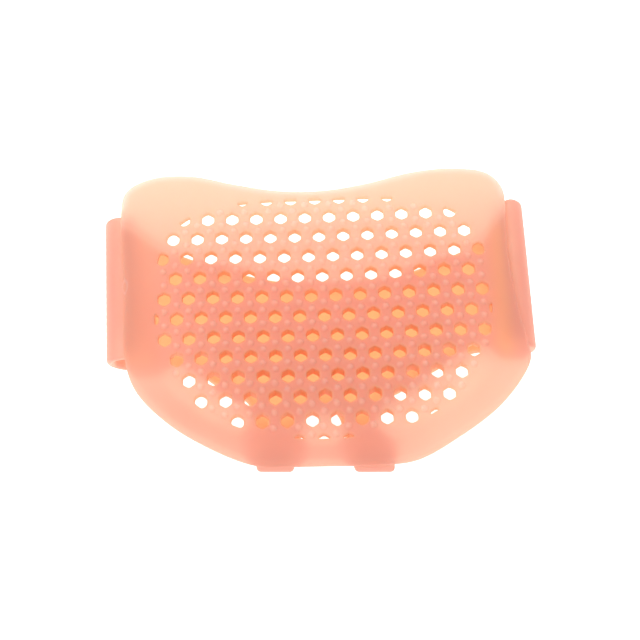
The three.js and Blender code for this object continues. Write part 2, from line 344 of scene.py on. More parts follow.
# %% [markdown]
# ## Where the band lies behind the cushion
# The band is seen through the gel as a darker field, so its place is needed before it is built. Its edges
# are smooth curves through a table, for a band that is cut in one sweep. The toe straps have straight
# edges that meet it in a round arch.

# %% The band seen from above
def curve_through(xs, ys):
    """Returns a smooth function whose graph passes through the points."""
    def at(x):
        i = np.clip(np.searchsorted(xs, x) - 1, 0, len(xs) - 2)
        before, after = np.clip(i - 1, 0, None), np.clip(i + 2, None, len(xs) - 1)
        leave = (ys[i + 1] - ys[before]) / (xs[i + 1] - xs[before])
        arrive = (ys[after] - ys[i]) / (xs[after] - xs[i])
        span = xs[i + 1] - xs[i]
        t = np.clip((x - xs[i]) / span, 0, 1)
        return (
            (2 * t**3 - 3 * t**2 + 1) * ys[i] + (t**3 - 2 * t**2 + t) * leave * span
            + (3 * t**2 - 2 * t**3) * ys[i + 1] + (t**3 - t**2) * arrive * span
        )
    return at


heel_edge = curve_through(band_edges[:, 0] * pad_half_width, band_edges[:, 1] * pad_half_depth)
toe_edge = curve_through(band_edges[:, 0] * pad_half_width, band_edges[:, 2] * pad_half_depth)
toe_front = outline_low[1]
window_top = toe_front + window_depth
arc_y = window_top - window_radius


def strap_x(name, y):
    """Where an edge of a toe strap lies, seen from above."""
    root, fold = (share * pad_half_width for share in toe_straps[name])
    return root + (fold - root) * np.clip((arc_y - y) / (arc_y - toe_front), 0, 1)


def inside_strip(x, y):
    """How far inside the band a point lies, measured along Y. The toe straps don't count."""
    return np.minimum(heel_edge(x) - y, y - toe_edge(x))


def inside_straps(x, y):
    """How far inside the nearer toe strap a point lies, measured along X."""
    left = np.minimum(x - strap_x("left_outer", y), strap_x("left_inner", y) - x)
    right = np.minimum(x - strap_x("right_inner", y), strap_x("right_outer", y) - x)
    return np.maximum(left, right)


def covered(x, y, blur):
    """How much of the band lies under a point, from 0 to 1, softened over a distance."""
    straps = np.minimum(inside_straps(x, y), window_top - y + window_radius)
    return smooth(0.5 + np.maximum(inside_strip(x, y), straps) / (2 * blur))


print("The band is", (heel_edge(0.0) - toe_edge(0.0)).round(1), "mm long in the middle")

# %% [markdown]
# ## From flat loops to a gel sheet
# Both pieces are sheets of gel with rounded edges. A Solidify and a Bevel modifier could make them, but
# they give way on a sheet with over a hundred holes. A triangulation of the flat plan is safe: it gives
# both faces, and rings of points close to every edge let the faces curve over there.

# %% Lay points in a plan
far = 9.0  # stands for the distance to an edge that is too far away to matter


def rings_of(loops, steps, outward=False):
    """Rings of points beside the loops, and each point's distance to its loop."""
    sign = -1 if outward else 1
    rings = [inset(loop, sign * step) for loop in loops for step in steps]
    away = [np.full(len(loop), step) for loop in loops for step in steps]
    return np.concatenate(rings), np.concatenate(away)


def thin_out(points, others, gap):
    """The points that keep a gap to all the others."""
    keep = np.ones(len(points), bool)
    batch = 400
    for start in range(0, len(points), batch):
        part = points[start:start + batch]
        away = np.linalg.norm(part[:, None] - others[None], axis=2).min(1)
        keep[start:start + batch] = away > gap
    return points[keep]


def hex_grid(low, high, step):
    """Evenly spaced points that fill a box."""
    xs = np.arange(low[0], high[0], step)
    ys = np.arange(low[1], high[1], step * math.sqrt(3) / 2)
    grid = [np.stack([xs + (step / 2 if k % 2 else 0), np.full_like(xs, y)], 1) for k, y in enumerate(ys)]
    return np.concatenate(grid)


def inside(points, loop):
    """Tells for each point whether it lies in the loop, by how many edges lie to one side of it."""
    x, y = points[:, 0], points[:, 1]
    within = np.zeros(len(points), bool)
    for (ax, ay), (bx, by) in zip(loop, np.roll(loop, -1, 0)):
        crosses = (ay > y) != (by > y)
        if crosses.any():
            within ^= crosses & (x < (bx - ax) * (y - ay) / (by - ay + 1e-12) + ax)
    return within


coarse = hex_grid(outline_low, outline_high, 5.0)
print("Of a grid of 5 mm", inside(coarse, outline).sum(), "points lie in the pad's outline")

# %% [markdown]
# ## From points to triangles
# Blender's own Delaunay triangulation joins the points and leaves the holes open. The loops go in as
# faces, so their edges are kept, and what it finds inside a hole is dropped. Each point may carry values,
# such as the depth of the gel there, which Blender calls attributes.

# %% Triangulate a plan
def triangulate(outer, inner_loops, loose):
    """Points and counter-clockwise triangles of a plan with holes. The loops' points come first."""
    points = np.concatenate([outer, *inner_loops, loose])
    faces, start = [], 0
    for loop in (outer, *inner_loops):
        faces.append(list(range(start, start + len(loop))))
        start += len(loop)
    _, _, triangles, origins, _, owners = delaunay_2d_cdt(
        [Vector(p) for p in points], [], faces, 1, 1e-6
    )
    source = np.array([o[0] if o else -1 for o in origins])
    kept = [t for t, owner in zip(triangles, owners) if list(owner) == [0] and len(t) == 3]
    triangles = source[np.array(kept)]
    assert (triangles >= 0).all(), "a triangulation made new points"
    a, b, c = (points[triangles[:, k]] for k in range(3))
    turn = (b[:, 0] - a[:, 0]) * (c[:, 1] - a[:, 1]) - (b[:, 1] - a[:, 1]) * (c[:, 0] - a[:, 0])
    triangles[turn < 0] = triangles[turn < 0][:, ::-1]
    return points, triangles[np.abs(turn) > 1e-9]


def mesh_object(name, points_mm, faces, **attributes):
    """A mesh in metres in the row's frame, with one value of each attribute at every point."""
    place = (points_mm + (*shift, 0)) / 1000
    mesh = bpy.data.meshes.new(name)
    mesh.from_pydata(place.tolist(), [], [list(map(int, f)) for f in faces])
    mesh.validate()
    for key, values in attributes.items():
        data = mesh.attributes.new(key, "FLOAT", "POINT")
        data.data.foreach_set("value", np.asarray(values, np.float32))
    mesh.shade_smooth()
    made = bpy.data.objects.new(name, mesh)
    bpy.context.scene.collection.objects.link(made)
    return made


def strip_between(low, high):
    """Triangles of the wall between two loops of the same length, seen from the right of their way."""
    after_low, after_high = np.roll(low, -1), np.roll(high, -1)
    return np.concatenate([np.stack([low, after_low, high], 1), np.stack([after_low, after_high, high], 1)])


square = np.array([(0.0, 0.0), (1.0, 0.0), (1.0, 1.0), (0.0, 1.0)])
print("A square plan gives", len(triangulate(square, [], np.zeros((0, 2)))[1]), "triangles")

# %% [markdown]
# ## The sole pad
# This is the cushion that the wearer walks on. Its upper face curves over at the outline and at the rim of
# every hole, and small domes stand on it. A mesh bends only at its points, so points are laid where it has
# to bend: in rings along the outline, round each hole and under each nub. An even grid fills the rest.

# %% Lay out the sole pad's points
rim_steps = (0.06, 0.2, 0.42, 0.75, 1.2, 1.9, 2.8)
hole_steps = (0.05, 0.15, 0.3, 0.62)
nub_circles = (  # radius of a circle of points under a nub, and how many points it has
    (0.0, 1), (0.28, 6), (0.52, 9), (0.74, 11), (0.92, 12), (1.08, 12),
)
nub_hole_gap = 0.2
fill_step = 1.25
fill_margin = 3.1
fill_gap = 0.6
fill_hole_gap = 0.7

top_rings, top_rings_away = rings_of([outline], rim_steps)
hole_rings, hole_rings_away = rings_of(holes, hole_steps, outward=True)
nub_rings = []
for radius, count in nub_circles:
    angles = np.linspace(0, 2 * math.pi, count, endpoint=False)
    circle = radius * np.stack([np.cos(angles), np.sin(angles)], 1)
    nub_rings.append((nub_spots[:, None] + circle[None]).reshape(-1, 2))
nub_points = thin_out(np.concatenate(nub_rings), np.concatenate(holes), nub_hole_gap)

near = np.concatenate([top_rings, hole_rings, nub_points])
fill = hex_grid(outline_low, outline_high, fill_step)
fill = fill[inside(fill, inset(outline, fill_margin))]
fill = thin_out(fill, near, fill_gap)
for hole in holes:
    fill = fill[~inside(fill, inset(hole, -fill_hole_gap))]
loose = np.concatenate([near, fill])
rim_away, hole_away = np.full(len(loose), far), np.full(len(loose), far)
rim_away[:len(top_rings)] = top_rings_away
hole_away[len(top_rings):len(top_rings) + len(hole_rings)] = hole_rings_away
outside = ~inside(loose, outline)
for hole in holes:
    close = np.abs(loose - hole.mean(0)).max(1) < hole_width
    close[close] = inside(loose[close], hole)
    outside |= close
loose, rim_away, hole_away = loose[~outside], rim_away[~outside], hole_away[~outside]
print("Loose points on the upper face:", len(loose))

# %% [markdown]
# ## The cushion's upper face
# The mould gives the rim and the holes a small radius, which catches the light. It follows from each
# point's distance to the nearest edge, as a quarter of a circle, and so needs no modifier.

# %% Lift the upper face
rim_round = 1.1
widest = rim_thickness * 0.42  # how high over the foot side the rim reaches furthest out
loop_ends = np.cumsum([0] + [len(loop) for loop in (outline, *holes)])
loop_count = loop_ends[-1]


def of_plan(at_outline, at_holes, at_loose):
    """One value for each point of a plan: those of the outline, of the holes and the loose ones."""
    counts = (len(outline), loop_count - len(outline))
    return np.concatenate([np.full(counts[0], at_outline), np.full(counts[1], at_holes), at_loose])


top_points, top_faces = triangulate(outline, holes, loose)
top_rim = of_plan(0.0, far, rim_away)
top_hole = of_plan(far, 0.0, hole_away)
top_x, top_y = top_points[:, 0], top_points[:, 1]
edge_round = quarter_circle(top_rim, rim_round)
hole_round = hole_fillet * (1 - quarter_circle(top_hole, hole_fillet))
top_z = pad_underside + widest + (thickness(top_x, top_y) - widest) * edge_round - hole_round
print("Upper face from", top_z.min().round(2), "to", top_z.max().round(2), "mm over the floor")

# %% [markdown]
# ## The cushion's foot side
# The side that lies on the skin is flat and smooth, so it needs far fewer points. It has the same outline
# and the same holes, which lets the two faces be joined point by point.

# %% Lay out the foot side
under_steps = (0.25, 0.8)
under_hole_steps = (0.22,)
under_fill_step = 2.6
under_margin = 2.0
under_hole_gap = 0.7
under_rim_round = 0.8
under_hole_round = 0.16

under_rings, under_rings_away = rings_of([outline], under_steps)
under_holes, _ = rings_of(holes, under_hole_steps, outward=True)
under_fill = hex_grid(outline_low, outline_high, under_fill_step)
under_fill = under_fill[inside(under_fill, inset(outline, under_margin))]
under_fill = thin_out(under_fill, np.concatenate(holes), under_hole_gap)
for hole in holes:
    under_fill = under_fill[~inside(under_fill, hole)]
under_loose = np.concatenate([under_rings, under_holes, under_fill])
under_rim = np.full(len(under_loose), far)
under_rim[:len(under_rings)] = under_rings_away
under_points, under_faces = triangulate(outline, holes, under_loose)
under_round = quarter_circle(of_plan(0.0, far, under_rim), under_rim_round)
under_z = pad_underside + widest * (1 - under_round)
under_z[len(outline):loop_count] += under_hole_round
print("Foot side:", len(under_points), "points")

# %% [markdown]
# ## The walls of the holes
# Each hole's wall joins its rim above to its rim below through two rings. The light runs a long way inside
# such a wall, which makes it amber, so every point of a wall also stores how far it belongs to one.

# %% Join the two faces
wall_levels = (0.3, 0.65)  # shares of the way down from the upper rim to the lower one
# painted glow: the upper face near each hole and the hole's rim on the foot side get some of the walls'
# amber
rim_amber = 0.6
rim_amber_reach = 0.8
foot_rim_amber = 0.8

offset = len(top_points)
merged = np.arange(len(under_points)) + offset
merged[:len(outline)] = np.arange(len(outline))
parts_xyz = [np.column_stack([top_points, top_z]), np.column_stack([under_points, under_z])]
faces = [top_faces, merged[under_faces][:, ::-1]]
count = offset + len(under_points)
for k, hole in enumerate(holes):
    start, end = loop_ends[k + 1], loop_ends[k + 2]
    high, low = top_z[start:end], under_z[start:end]
    before = np.arange(start, end)
    for level in wall_levels:
        parts_xyz.append(np.column_stack([hole, high + (low - high) * level]))
        now = np.arange(count, count + len(hole))
        count += len(hole)
        faces.append(strip_between(before, now))
        before = now
    faces.append(strip_between(before, merged[start:end]))
xyz = np.concatenate(parts_xyz)
all_faces = np.concatenate(faces)
walls = np.ones(len(xyz))
walls[:offset + len(under_points)] = 0
walls[:offset] = rim_amber * np.clip(1 - top_hole / rim_amber_reach, 0, 1) ** 1.5
walls[offset + len(outline):offset + loop_count] = foot_rim_amber
print("Sole pad:", len(xyz), "points,", len(all_faces), "triangles")

# %% [markdown]
# ## The depth of gel over the light
# The band lies about a centimetre under the cushion, so it shows through as a soft shadow. Ray-traced
# gel would show this by itself, but it needs very many samples to look clean. So the shadow is worked out
# here and stored at the points. Where the flanges touch the cushion it is stronger, and seen from the
# camera the band is shifted a little to the heel.

# %% Depth of the sole pad
left_fold = outline_low[0] - side_overhang
right_fold = right_edge_share * pad_half_width + side_overhang
toe_fold = outline_low[1] - toe_overhang
parallax = 3.6  # how far the camera sees the band shifted
band_blur = 3.2
flange_share = 0.32
flange_blur = 3.1
rise_share = 0.32
side_rise = 17.0  # how far before a fold the band starts to climb
toe_border_darkening = 2.2  # mm of gel added to the border towards the toes, which makes it darker there
border_start = 0.9
border_blur = 0.2
toe_border_dark_end = 14.0
cushion_clearness = 0.3
toe_right_painted_light = 1.0  # mm of gel taken off at the corner at the right toe: painted light that makes it paler
painted_light_start = (6.0, -5.0)
painted_light_reach = (24.0, 12.0)


def lean(y):
    """How far the right fold leans outwards at a place along the foot."""
    return right_fold_lean * (1 - y / pad_half_depth) / 2


def flange_cover(x, y, blur):
    """How much of a flange touches the pad over a point, from 0 to 1."""
    right_end = right_fold + lean(y) - side_overhang - flange_lap
    sides = np.maximum(outline_low[0] + flange_lap - x, x - right_end)
    sides = np.minimum(sides, inside_strip(x, y))
    toes = np.minimum(inside_straps(x, y), outline_low[1] + flange_lap - y)
    return smooth(0.5 + np.maximum(sides, toes) / (2 * blur))


def rising(x, y):
    """How near the band's climb to a side fold is, where light runs longest through it, from 0 to 1."""
    to_left = (x - left_fold) / side_rise
    to_right = (right_fold + lean(y) - x) / side_rise
    return smooth(1 - np.minimum(to_left, to_right))


def gel_depth(x, y, own):
    """Millimetres of gel that the light passes under a point, where the cushion itself has so many."""
    behind = covered(x, y + parallax, band_blur)
    toeward = smooth((toe_border_dark_end - y) / pad_half_depth)
    on_border = smooth((field_radius(x, y) - border_start) / border_blur)
    toe_border_dark = toe_border_darkening * toeward * on_border
    clearer = cushion_clearness * np.clip(own - rim_thickness, 0, None)
    # painted light: the corner at the right toe is made paler
    to_right, to_toe = (x - painted_light_start[0]) / painted_light_reach[0], (painted_light_start[1] - y) / painted_light_reach[1]
    painted_light = toe_right_painted_light * smooth(to_right) * smooth(to_toe)
    # painted shade: the band behind the cushion, deeper near the folds' climb and where a flange touches
    band_seen = behind * (1 + rise_share * rising(x, y)) + flange_share * flange_cover(x, y, flange_blur)
    return own + toe_border_dark - clearer - painted_light + band_thickness * band_seen


print("Under the middle the light passes", gel_depth(0.0, 0.0, thickness(0.0, 0.0)).round(2), "mm of gel")

# %% [markdown]
# ## Pale rims and amber sides
# A moulded rim is thin and catches light from the side, so it looks paler than the gel beside it. Past the
# field's left and right ends the light runs along the band's flanges, and the gel looks more amber there.

# %% Colour values of the sole pad
rim_glow = 2.4  # how far in from the outline the pale rim reaches
rim_light = 0.65
side_margin = 3.0
left_blur, right_blur, right_rim_blur = 6.0, 5.0, 4.0
left_amber = 0.25
right_amber = 0.8
right_depth = 0.8

pad_x, pad_y = xyz[:, 0], xyz[:, 1]
own = thickness(pad_x, pad_y)
on_flange = flange_cover(top_x, top_y, flange_blur)
lit_rim = rim_light * (1 - smooth(top_rim / rim_glow)) * (1 - on_flange)
own[:len(top_points)] = (top_z - pad_underside) * (1 - lit_rim)
# painted shade: where a flange touches the cushion, its rim is darker instead of pale
own[:len(top_points)] += rim_thickness * (1 - edge_round) * on_flange
depth = gel_depth(pad_x, pad_y, own)
over_band = covered(pad_x, pad_y + parallax, band_blur)
past_left = over_band * smooth((-pad_x - field_half_width + side_margin) / left_blur)
past_right = over_band * smooth((pad_x - field_half_width + side_margin) / right_blur)
past_right *= smooth((right_fold + lean(pad_y) - side_overhang - pad_x) / right_rim_blur)
walls = np.maximum(walls, left_amber * past_left + right_amber * past_right)
depth += right_depth * past_right
print("Gel depth from", depth.min().round(2), "to", depth.max().round(2), "mm")

# %% [markdown]
# ## Helpers for node trees
# Geometry and shader trees are both built here in code. Each link by hand takes several lines, so two
# short functions make a group with named sockets and a Math node with its values.

# %% Node tree helpers
def new_group(name, kind, inputs, outputs):
    """A node group with named sockets: lists of (name, socket type, default)."""
    group = bpy.data.node_groups.new(name, kind)
    for label, socket, default in inputs:
        made = group.interface.new_socket(label, in_out="INPUT", socket_type=socket)
        if default is not None:
            made.default_value = default
    for label, socket in outputs:
        group.interface.new_socket(label, in_out="OUTPUT", socket_type=socket)
    return group, group.nodes.new("NodeGroupInput"), group.nodes.new("NodeGroupOutput")


def math_node(group, operation, *values, clamp=False):
    """A Math node. A value is a number or another node's output."""
    node = group.nodes.new("ShaderNodeMath")
    node.operation = operation
    node.use_clamp = clamp
    for socket, value in zip(node.inputs, values):
        if isinstance(value, (int, float)):
            socket.default_value = value
        else:
            group.links.new(value, socket)
    return node.outputs[0]


print("Node trees in the file so far:", len(bpy.data.node_groups))

# %% [markdown]
# ## Grip nubs by Geometry Nodes
# A small grip nub stands wherever three holes meet. Nubs repeat all over the surface, which is work for
# Geometry Nodes. Instanced domes would show a seam, and real nubs are one with the gel. So the tree
# measures each point's distance to the nearest nub spot and lifts it along a dome. It also stores how far
# up the nub a point lies, which the material reads.

# %% The tree that raises nubs
dome_power = 1.25
least_upward = 0.25


def raise_nubs_tree(material):
    """Domes on a mesh at the points of another object."""
    group, start, end = new_group(
        "Raise nubs",
        "GeometryNodeTree",
        [
            ("Geometry", "NodeSocketGeometry", None),
            ("Nub spots", "NodeSocketObject", None),
            ("Nub radius", "NodeSocketFloat", 0.001),
            ("Nub height", "NodeSocketFloat", 0.0005),
            ("Material", "NodeSocketMaterial", material),
        ],
        [("Geometry", "NodeSocketGeometry")],
    )
    group.is_modifier = True
    link = group.links.new
    spots = group.nodes.new("GeometryNodeObjectInfo")
    link(start.outputs["Nub spots"], spots.inputs["Object"])
    near = group.nodes.new("GeometryNodeProximity")
    near.target_element = "POINTS"
    link(spots.outputs["Geometry"], near.inputs[0])
    share = math_node(group, "DIVIDE", near.outputs["Distance"], start.outputs["Nub radius"])
    fall = math_node(group, "SUBTRACT", 1.0, math_node(group, "POWER", share, 2.0), clamp=True)
    dome = math_node(group, "POWER", fall, dome_power)
    lift = math_node(group, "MULTIPLY", dome, start.outputs["Nub height"])
    upward = group.nodes.new("ShaderNodeCombineXYZ")
    link(lift, upward.inputs["Z"])
    normal = group.nodes.new("GeometryNodeInputNormal")
    facing = group.nodes.new("ShaderNodeSeparateXYZ")
    link(normal.outputs[0], facing.inputs[0])
    top = math_node(group, "GREATER_THAN", facing.outputs["Z"], least_upward)
    move = group.nodes.new("GeometryNodeSetPosition")
    link(start.outputs["Geometry"], move.inputs["Geometry"])
    link(top, move.inputs["Selection"])
    link(upward.outputs[0], move.inputs["Offset"])
    store = group.nodes.new("GeometryNodeStoreNamedAttribute")
    store.data_type = "FLOAT"
    store.domain = "POINT"
    store.inputs["Name"].default_value = "nub"
    link(move.outputs[0], store.inputs["Geometry"])
    link(math_node(group, "MULTIPLY", dome, top), store.inputs["Value"])
    realize = group.nodes.new("GeometryNodeRealizeInstances")
    link(store.outputs[0], realize.inputs[0])
    paint = group.nodes.new("GeometryNodeSetMaterial")
    link(realize.outputs[0], paint.inputs["Geometry"])
    link(start.outputs["Material"], paint.inputs["Material"])
    link(paint.outputs[0], end.inputs["Geometry"])
    return group


print("A nub is", 2 * nub_radius, "mm wide and", nub_height, "mm high")

# %% [markdown]
# ## Keep a tree's result
# A modifier is worked out anew whenever the file changes. The finished pad needs that no more, so the tree
# runs once, its result becomes the object's own mesh, and the modifier is taken off.

# %% Bake a tree
def bake(made, tree, **values):
    """Runs a tree on an object once and keeps the result as its plain mesh."""
    modifier = made.modifiers.new(tree.name, "NODES")
    modifier.node_group = tree
    for item in tree.interface.items_tree:
        key = item.name.lower().replace(" ", "_")
        if item.in_out == "INPUT" and key in values:
            modifier[item.identifier] = values[key]
    graph = bpy.context.evaluated_depsgraph_get()
    shown = made.evaluated_get(graph)
    result = bpy.data.meshes.new_from_object(shown, preserve_all_data_layers=True, depsgraph=graph)
    made.modifiers.remove(modifier)
    made.data = result
    return made


print("Ready to bake", len(nub_spots), "nubs")

# %% [markdown]
# ## Colours of the gel
# The gel is cream where it is thin and salmon over the band. A volume shader could work that out, but a
# ramp from depth to colour is quick, has no grain and is easy to match to the real gel. The walls of the
# holes and the light from below have ramps of their own.

# %% Colour tables
depth_colors = (  # mm of gel and the linear colour that it shows in light from above
    (0.5, (1.0, 0.74, 0.60)),
    (1.5, (1.0, 0.58, 0.42)),
    (2.8, (0.95, 0.51, 0.38)),
    (4.0, (0.82, 0.35, 0.27)),
    (5.5, (0.85, 0.345, 0.25)),
    (7.5, (0.84, 0.33, 0.24)),
)
wall_colors = (  # the same for the walls of the holes
    (0.5, (1.0, 0.63, 0.39)),
    (2.5, (0.99, 0.49, 0.26)),
    (5.5, (0.98, 0.45, 0.23)),
    (7.5, (0.96, 0.33, 0.15)),
)
through_colors = (  # the same for light that comes through from below
    (0.5, (1.0, 0.84, 0.72)),
    (1.5, (1.0, 0.64, 0.46)),
    (3.0, (0.98, 0.54, 0.38)),
    (5.0, (0.87, 0.38, 0.26)),
    (7.5, (0.85, 0.35, 0.22)),
)
deepest = 8.0  # mm of gel at the end of a ramp
nub_highlight_color = (1.0, 0.74, 0.66)
nub_highlight_share = 0.75
nub_highlight_depth = 2.6  # mm of gel taken off the depth on a nub's top, a painted highlight in the light from below
print("Ramps reach to", deepest, "mm of gel")

# %% [markdown]
# ## Helpers for shader nodes
# Both shader groups and the material use ramps, mixes, noise and stored values. One function for each
# keeps the trees below as short as the ideas behind them.

# %% Shader node helpers
def ramp_node(group, factor, stops):
    """Colours for a share of the deepest gel.

    A face reflects half of the light and passes half. Between the two faces of a sheet it goes back and
    forth, so in a white room a colour c shows as c / (2 - c). Each stop names the colour that shows.
    """
    node = group.nodes.new("ShaderNodeValToRGB")
    ramp = node.color_ramp
    ramp.interpolation = "EASE"
    while len(ramp.elements) < len(stops):
        ramp.elements.new(0.5)
    for element, (at, color) in zip(ramp.elements, stops):
        element.position = at / deepest
        element.color = (*(2 * c / (1 + c) for c in color), 1)
    group.links.new(factor, node.inputs["Fac"])
    return node.outputs["Color"]


def mix_node(group, factor, below, above):
    """Mixes two colours, each a colour or another node's output."""
    node = group.nodes.new("ShaderNodeMix")
    node.data_type = "RGBA"
    node.clamp_factor = True
    sockets = (node.inputs["Factor"], node.inputs[6], node.inputs[7])
    for socket, value in zip(sockets, (factor, below, above)):
        if isinstance(value, (int, float)):
            socket.default_value = value
        elif isinstance(value, tuple):
            socket.default_value = (*value, 1)
        else:
            group.links.new(value, socket)
    return node.outputs[2]


def noise_node(group, vector, scale, detail):
    """A soft random value between 0 and 1 over the surface."""
    node = group.nodes.new("ShaderNodeTexNoise")
    node.inputs["Scale"].default_value = scale
    node.inputs["Detail"].default_value = detail
    group.links.new(vector, node.inputs["Vector"])
    return node.outputs["Fac"]


def attribute_node(tree, name):
    """Reads a value that the mesh stores at its points."""
    node = tree.nodes.new("ShaderNodeAttribute")
    node.attribute_name = name
    return node.outputs["Fac"]


print("Points of the pad's mesh that will carry a depth:", len(depth))

# %% [markdown]
# ## The tint
# Moulded gel is never quite even. It has faint clouds, and the left edge of this pad has a small mark in
# the shape of a pale teardrop. Both could be painted, but nodes that read the place on the object stay
# sharp at any size. The group puts out one colour, so both pieces can use it.

# %% Tint group
# a paler line in the shape of a teardrop on the left edge of the pad
teardrop_color = (1.0, 0.72, 0.66)
teardrop_spot = np.array([-46.5, 8.7])
teardrop_half = (0.62, 1.5)  # half its width and half its length
teardrop_taper = 0.35
teardrop_line = 0.45  # how far the line fades to each side, as a share of the teardrop's half width
teardrop_strength = 0.7
cloud_scale = 90
cloudiness = 0.9  # mm of gel between the clearest and the cloudiest spots


def teardrop_mark(group, vector):
    """A pale line in the shape of a teardrop on the left edge."""
    place = group.nodes.new("ShaderNodeSeparateXYZ")
    group.links.new(vector, place.inputs[0])
    x0, y0 = ((teardrop_spot + shift) / 1000).tolist()
    per_half = 1000 / teardrop_half[1]
    along = math_node(group, "MULTIPLY_ADD", place.outputs["Y"], per_half, -y0 * per_half)
    wide = math_node(group, "MULTIPLY_ADD", along, teardrop_taper * teardrop_half[0], teardrop_half[0])
    across = math_node(group, "MULTIPLY_ADD", place.outputs["X"], 1000, -x0 * 1000)
    across = math_node(group, "DIVIDE", across, wide)
    squares = [
        math_node(group, "POWER", math_node(group, "ABSOLUTE", part), 2.0) for part in (across, along)
    ]
    out = math_node(group, "SQRT", math_node(group, "ADD", *squares))
    line = math_node(group, "ABSOLUTE", math_node(group, "SUBTRACT", out, 1.0))
    fade = -teardrop_strength / teardrop_line
    return math_node(group, "MULTIPLY_ADD", line, fade, teardrop_strength, clamp=True)


def gel_tint_group():
    """Turns the depth of gel, a wall's share and a nub's share into a colour, with a painted highlight on
    the nubs.
    """
    group, start, end = new_group(
        "Gel tint",
        "ShaderNodeTree",
        [
            ("Vector", "NodeSocketVector", None),
            ("Depth", "NodeSocketFloat", 2.0),
            ("Wall", "NodeSocketFloat", 0.0),
            ("Nub", "NodeSocketFloat", 0.0),
        ],
        [("Color", "NodeSocketColor")],
    )
    cloud = noise_node(group, start.outputs["Vector"], cloud_scale, 3)
    uneven = math_node(group, "MULTIPLY_ADD", cloud, cloudiness, -cloudiness / 2)
    depth_now = math_node(group, "ADD", start.outputs["Depth"], uneven)
    share = math_node(group, "DIVIDE", depth_now, deepest, clamp=True)
    skin = ramp_node(group, share, depth_colors)
    core = ramp_node(group, share, wall_colors)
    color = mix_node(group, start.outputs["Wall"], skin, core)
    # painted highlight: the nubs' tops are paler
    nub_highlight = math_node(group, "MULTIPLY", start.outputs["Nub"], nub_highlight_share)
    color = mix_node(group, nub_highlight, color, nub_highlight_color)
    ring = teardrop_mark(group, start.outputs["Vector"])
    color = mix_node(group, ring, color, teardrop_color)
    group.links.new(color, end.inputs["Color"])
    return group


gel_tint = gel_tint_group()
print("Group", gel_tint.name, "has", len(gel_tint.nodes), "nodes")

# %% [markdown]
# ## The skin
# The surface of the mould leaves a satin skin on the gel, with a faint haze and a very fine grain. Real
# bumps of that size would need millions of faces, so a noise drives the roughness and a Bump node.

# %% Skin group
haze_scale = 260
grain_scale = 2400
roughness_spread = 0.16
haze_bump = 0.6


def gel_skin_group():
    """Uneven gloss and very fine bumps, as on a moulded surface."""
    group, start, end = new_group(
        "Gel skin",
        "ShaderNodeTree",
        [("Vector", "NodeSocketVector", None), ("Roughness", "NodeSocketFloat", 0.45)],
        [("Roughness", "NodeSocketFloat"), ("Height", "NodeSocketFloat")],
    )
    haze = noise_node(group, start.outputs["Vector"], haze_scale, 2)
    grain = noise_node(group, start.outputs["Vector"], grain_scale, 2)
    spread = math_node(group, "MULTIPLY_ADD", haze, roughness_spread, -roughness_spread / 2)
    rough = math_node(group, "ADD", start.outputs["Roughness"], spread)
    group.links.new(rough, end.inputs["Roughness"])
    group.links.new(math_node(group, "MULTIPLY_ADD", haze, haze_bump, grain), end.inputs["Height"])
    return group


gel_skin = gel_skin_group()
print("Group", gel_skin.name, "has", len(gel_skin.nodes), "nodes")

# %% [markdown]
# ## The gel itself
# Soft gel both scatters light inside and lets it through from behind. Glass or a volume would be closer
# to the physics, but grainy and slow. So the material mixes two cheap shaders half and half: a Principled
# one with some subsurface scattering for the skin, and a Translucent one for the light from below.

# %% The gel
def gel_material(name, roughness, clearness):
    """Translucent moulded gel. clearness is the share of the light that passes each face."""
    material = bpy.data.materials.new(name)
    material.use_nodes = True
    tree = material.node_tree
    link = tree.links.new
    shader = tree.nodes["Principled BSDF"]
    place = tree.nodes.new("ShaderNodeTexCoord")
    tint = tree.nodes.new("ShaderNodeGroup")
    tint.node_tree = gel_tint
    skin = tree.nodes.new("ShaderNodeGroup")
    skin.node_tree = gel_skin
    skin.inputs["Roughness"].default_value = roughness
    for group in (tint, skin):
        link(place.outputs["Object"], group.inputs["Vector"])
    gel_seen, in_wall, on_nub = (attribute_node(tree, name) for name in ("depth", "wall", "nub"))
    link(gel_seen, tint.inputs["Depth"])
    link(in_wall, tint.inputs["Wall"])
    link(on_nub, tint.inputs["Nub"])
    link(tint.outputs["Color"], shader.inputs["Base Color"])
    link(skin.outputs["Roughness"], shader.inputs["Roughness"])
    bump = tree.nodes.new("ShaderNodeBump")
    bump.inputs["Strength"].default_value = 0.25
    bump.inputs["Distance"].default_value = 0.00004
    link(skin.outputs["Height"], bump.inputs["Height"])
    link(bump.outputs["Normal"], shader.inputs["Normal"])
    shader.inputs["Subsurface Weight"].default_value = 0.3
    shader.inputs["Subsurface Radius"].default_value = (1.0, 0.45, 0.3)
    shader.inputs["Subsurface Scale"].default_value = 0.0015
    shader.inputs["IOR"].default_value = 1.41
    shader.inputs["Specular IOR Level"].default_value = 0.35
    # painted highlight: the nubs' tops let more light through
    painted_light = math_node(tree, "MULTIPLY", on_nub, nub_highlight_depth)
    lens = math_node(tree, "SUBTRACT", gel_seen, painted_light)
    share = math_node(tree, "DIVIDE", lens, deepest, clamp=True)
    passing = tree.nodes.new("ShaderNodeBsdfTranslucent")
    clear_light = ramp_node(tree, share, through_colors)
    amber_light = ramp_node(tree, share, wall_colors)
    link(mix_node(tree, in_wall, clear_light, amber_light), passing.inputs["Color"])
    both = tree.nodes.new("ShaderNodeMixShader")
    both.inputs["Fac"].default_value = clearness
    link(shader.outputs[0], both.inputs[1])
    link(passing.outputs[0], both.inputs[2])
    link(both.outputs[0], tree.nodes["Material Output"].inputs["Surface"])
    return material


gel_clearness = 0.5
pad_gel = gel_material("sole_gel", 0.42, gel_clearness)
band_gel = gel_material("band_gel", 0.45, gel_clearness)
print("Materials:", pad_gel.name, "and", band_gel.name)

# %% [markdown]
# ## The finished cushion
# The mesh gets its depth and wall values, and the tree then raises the nubs. Its result is kept as a plain
# mesh, so that nothing is left to be worked out later.

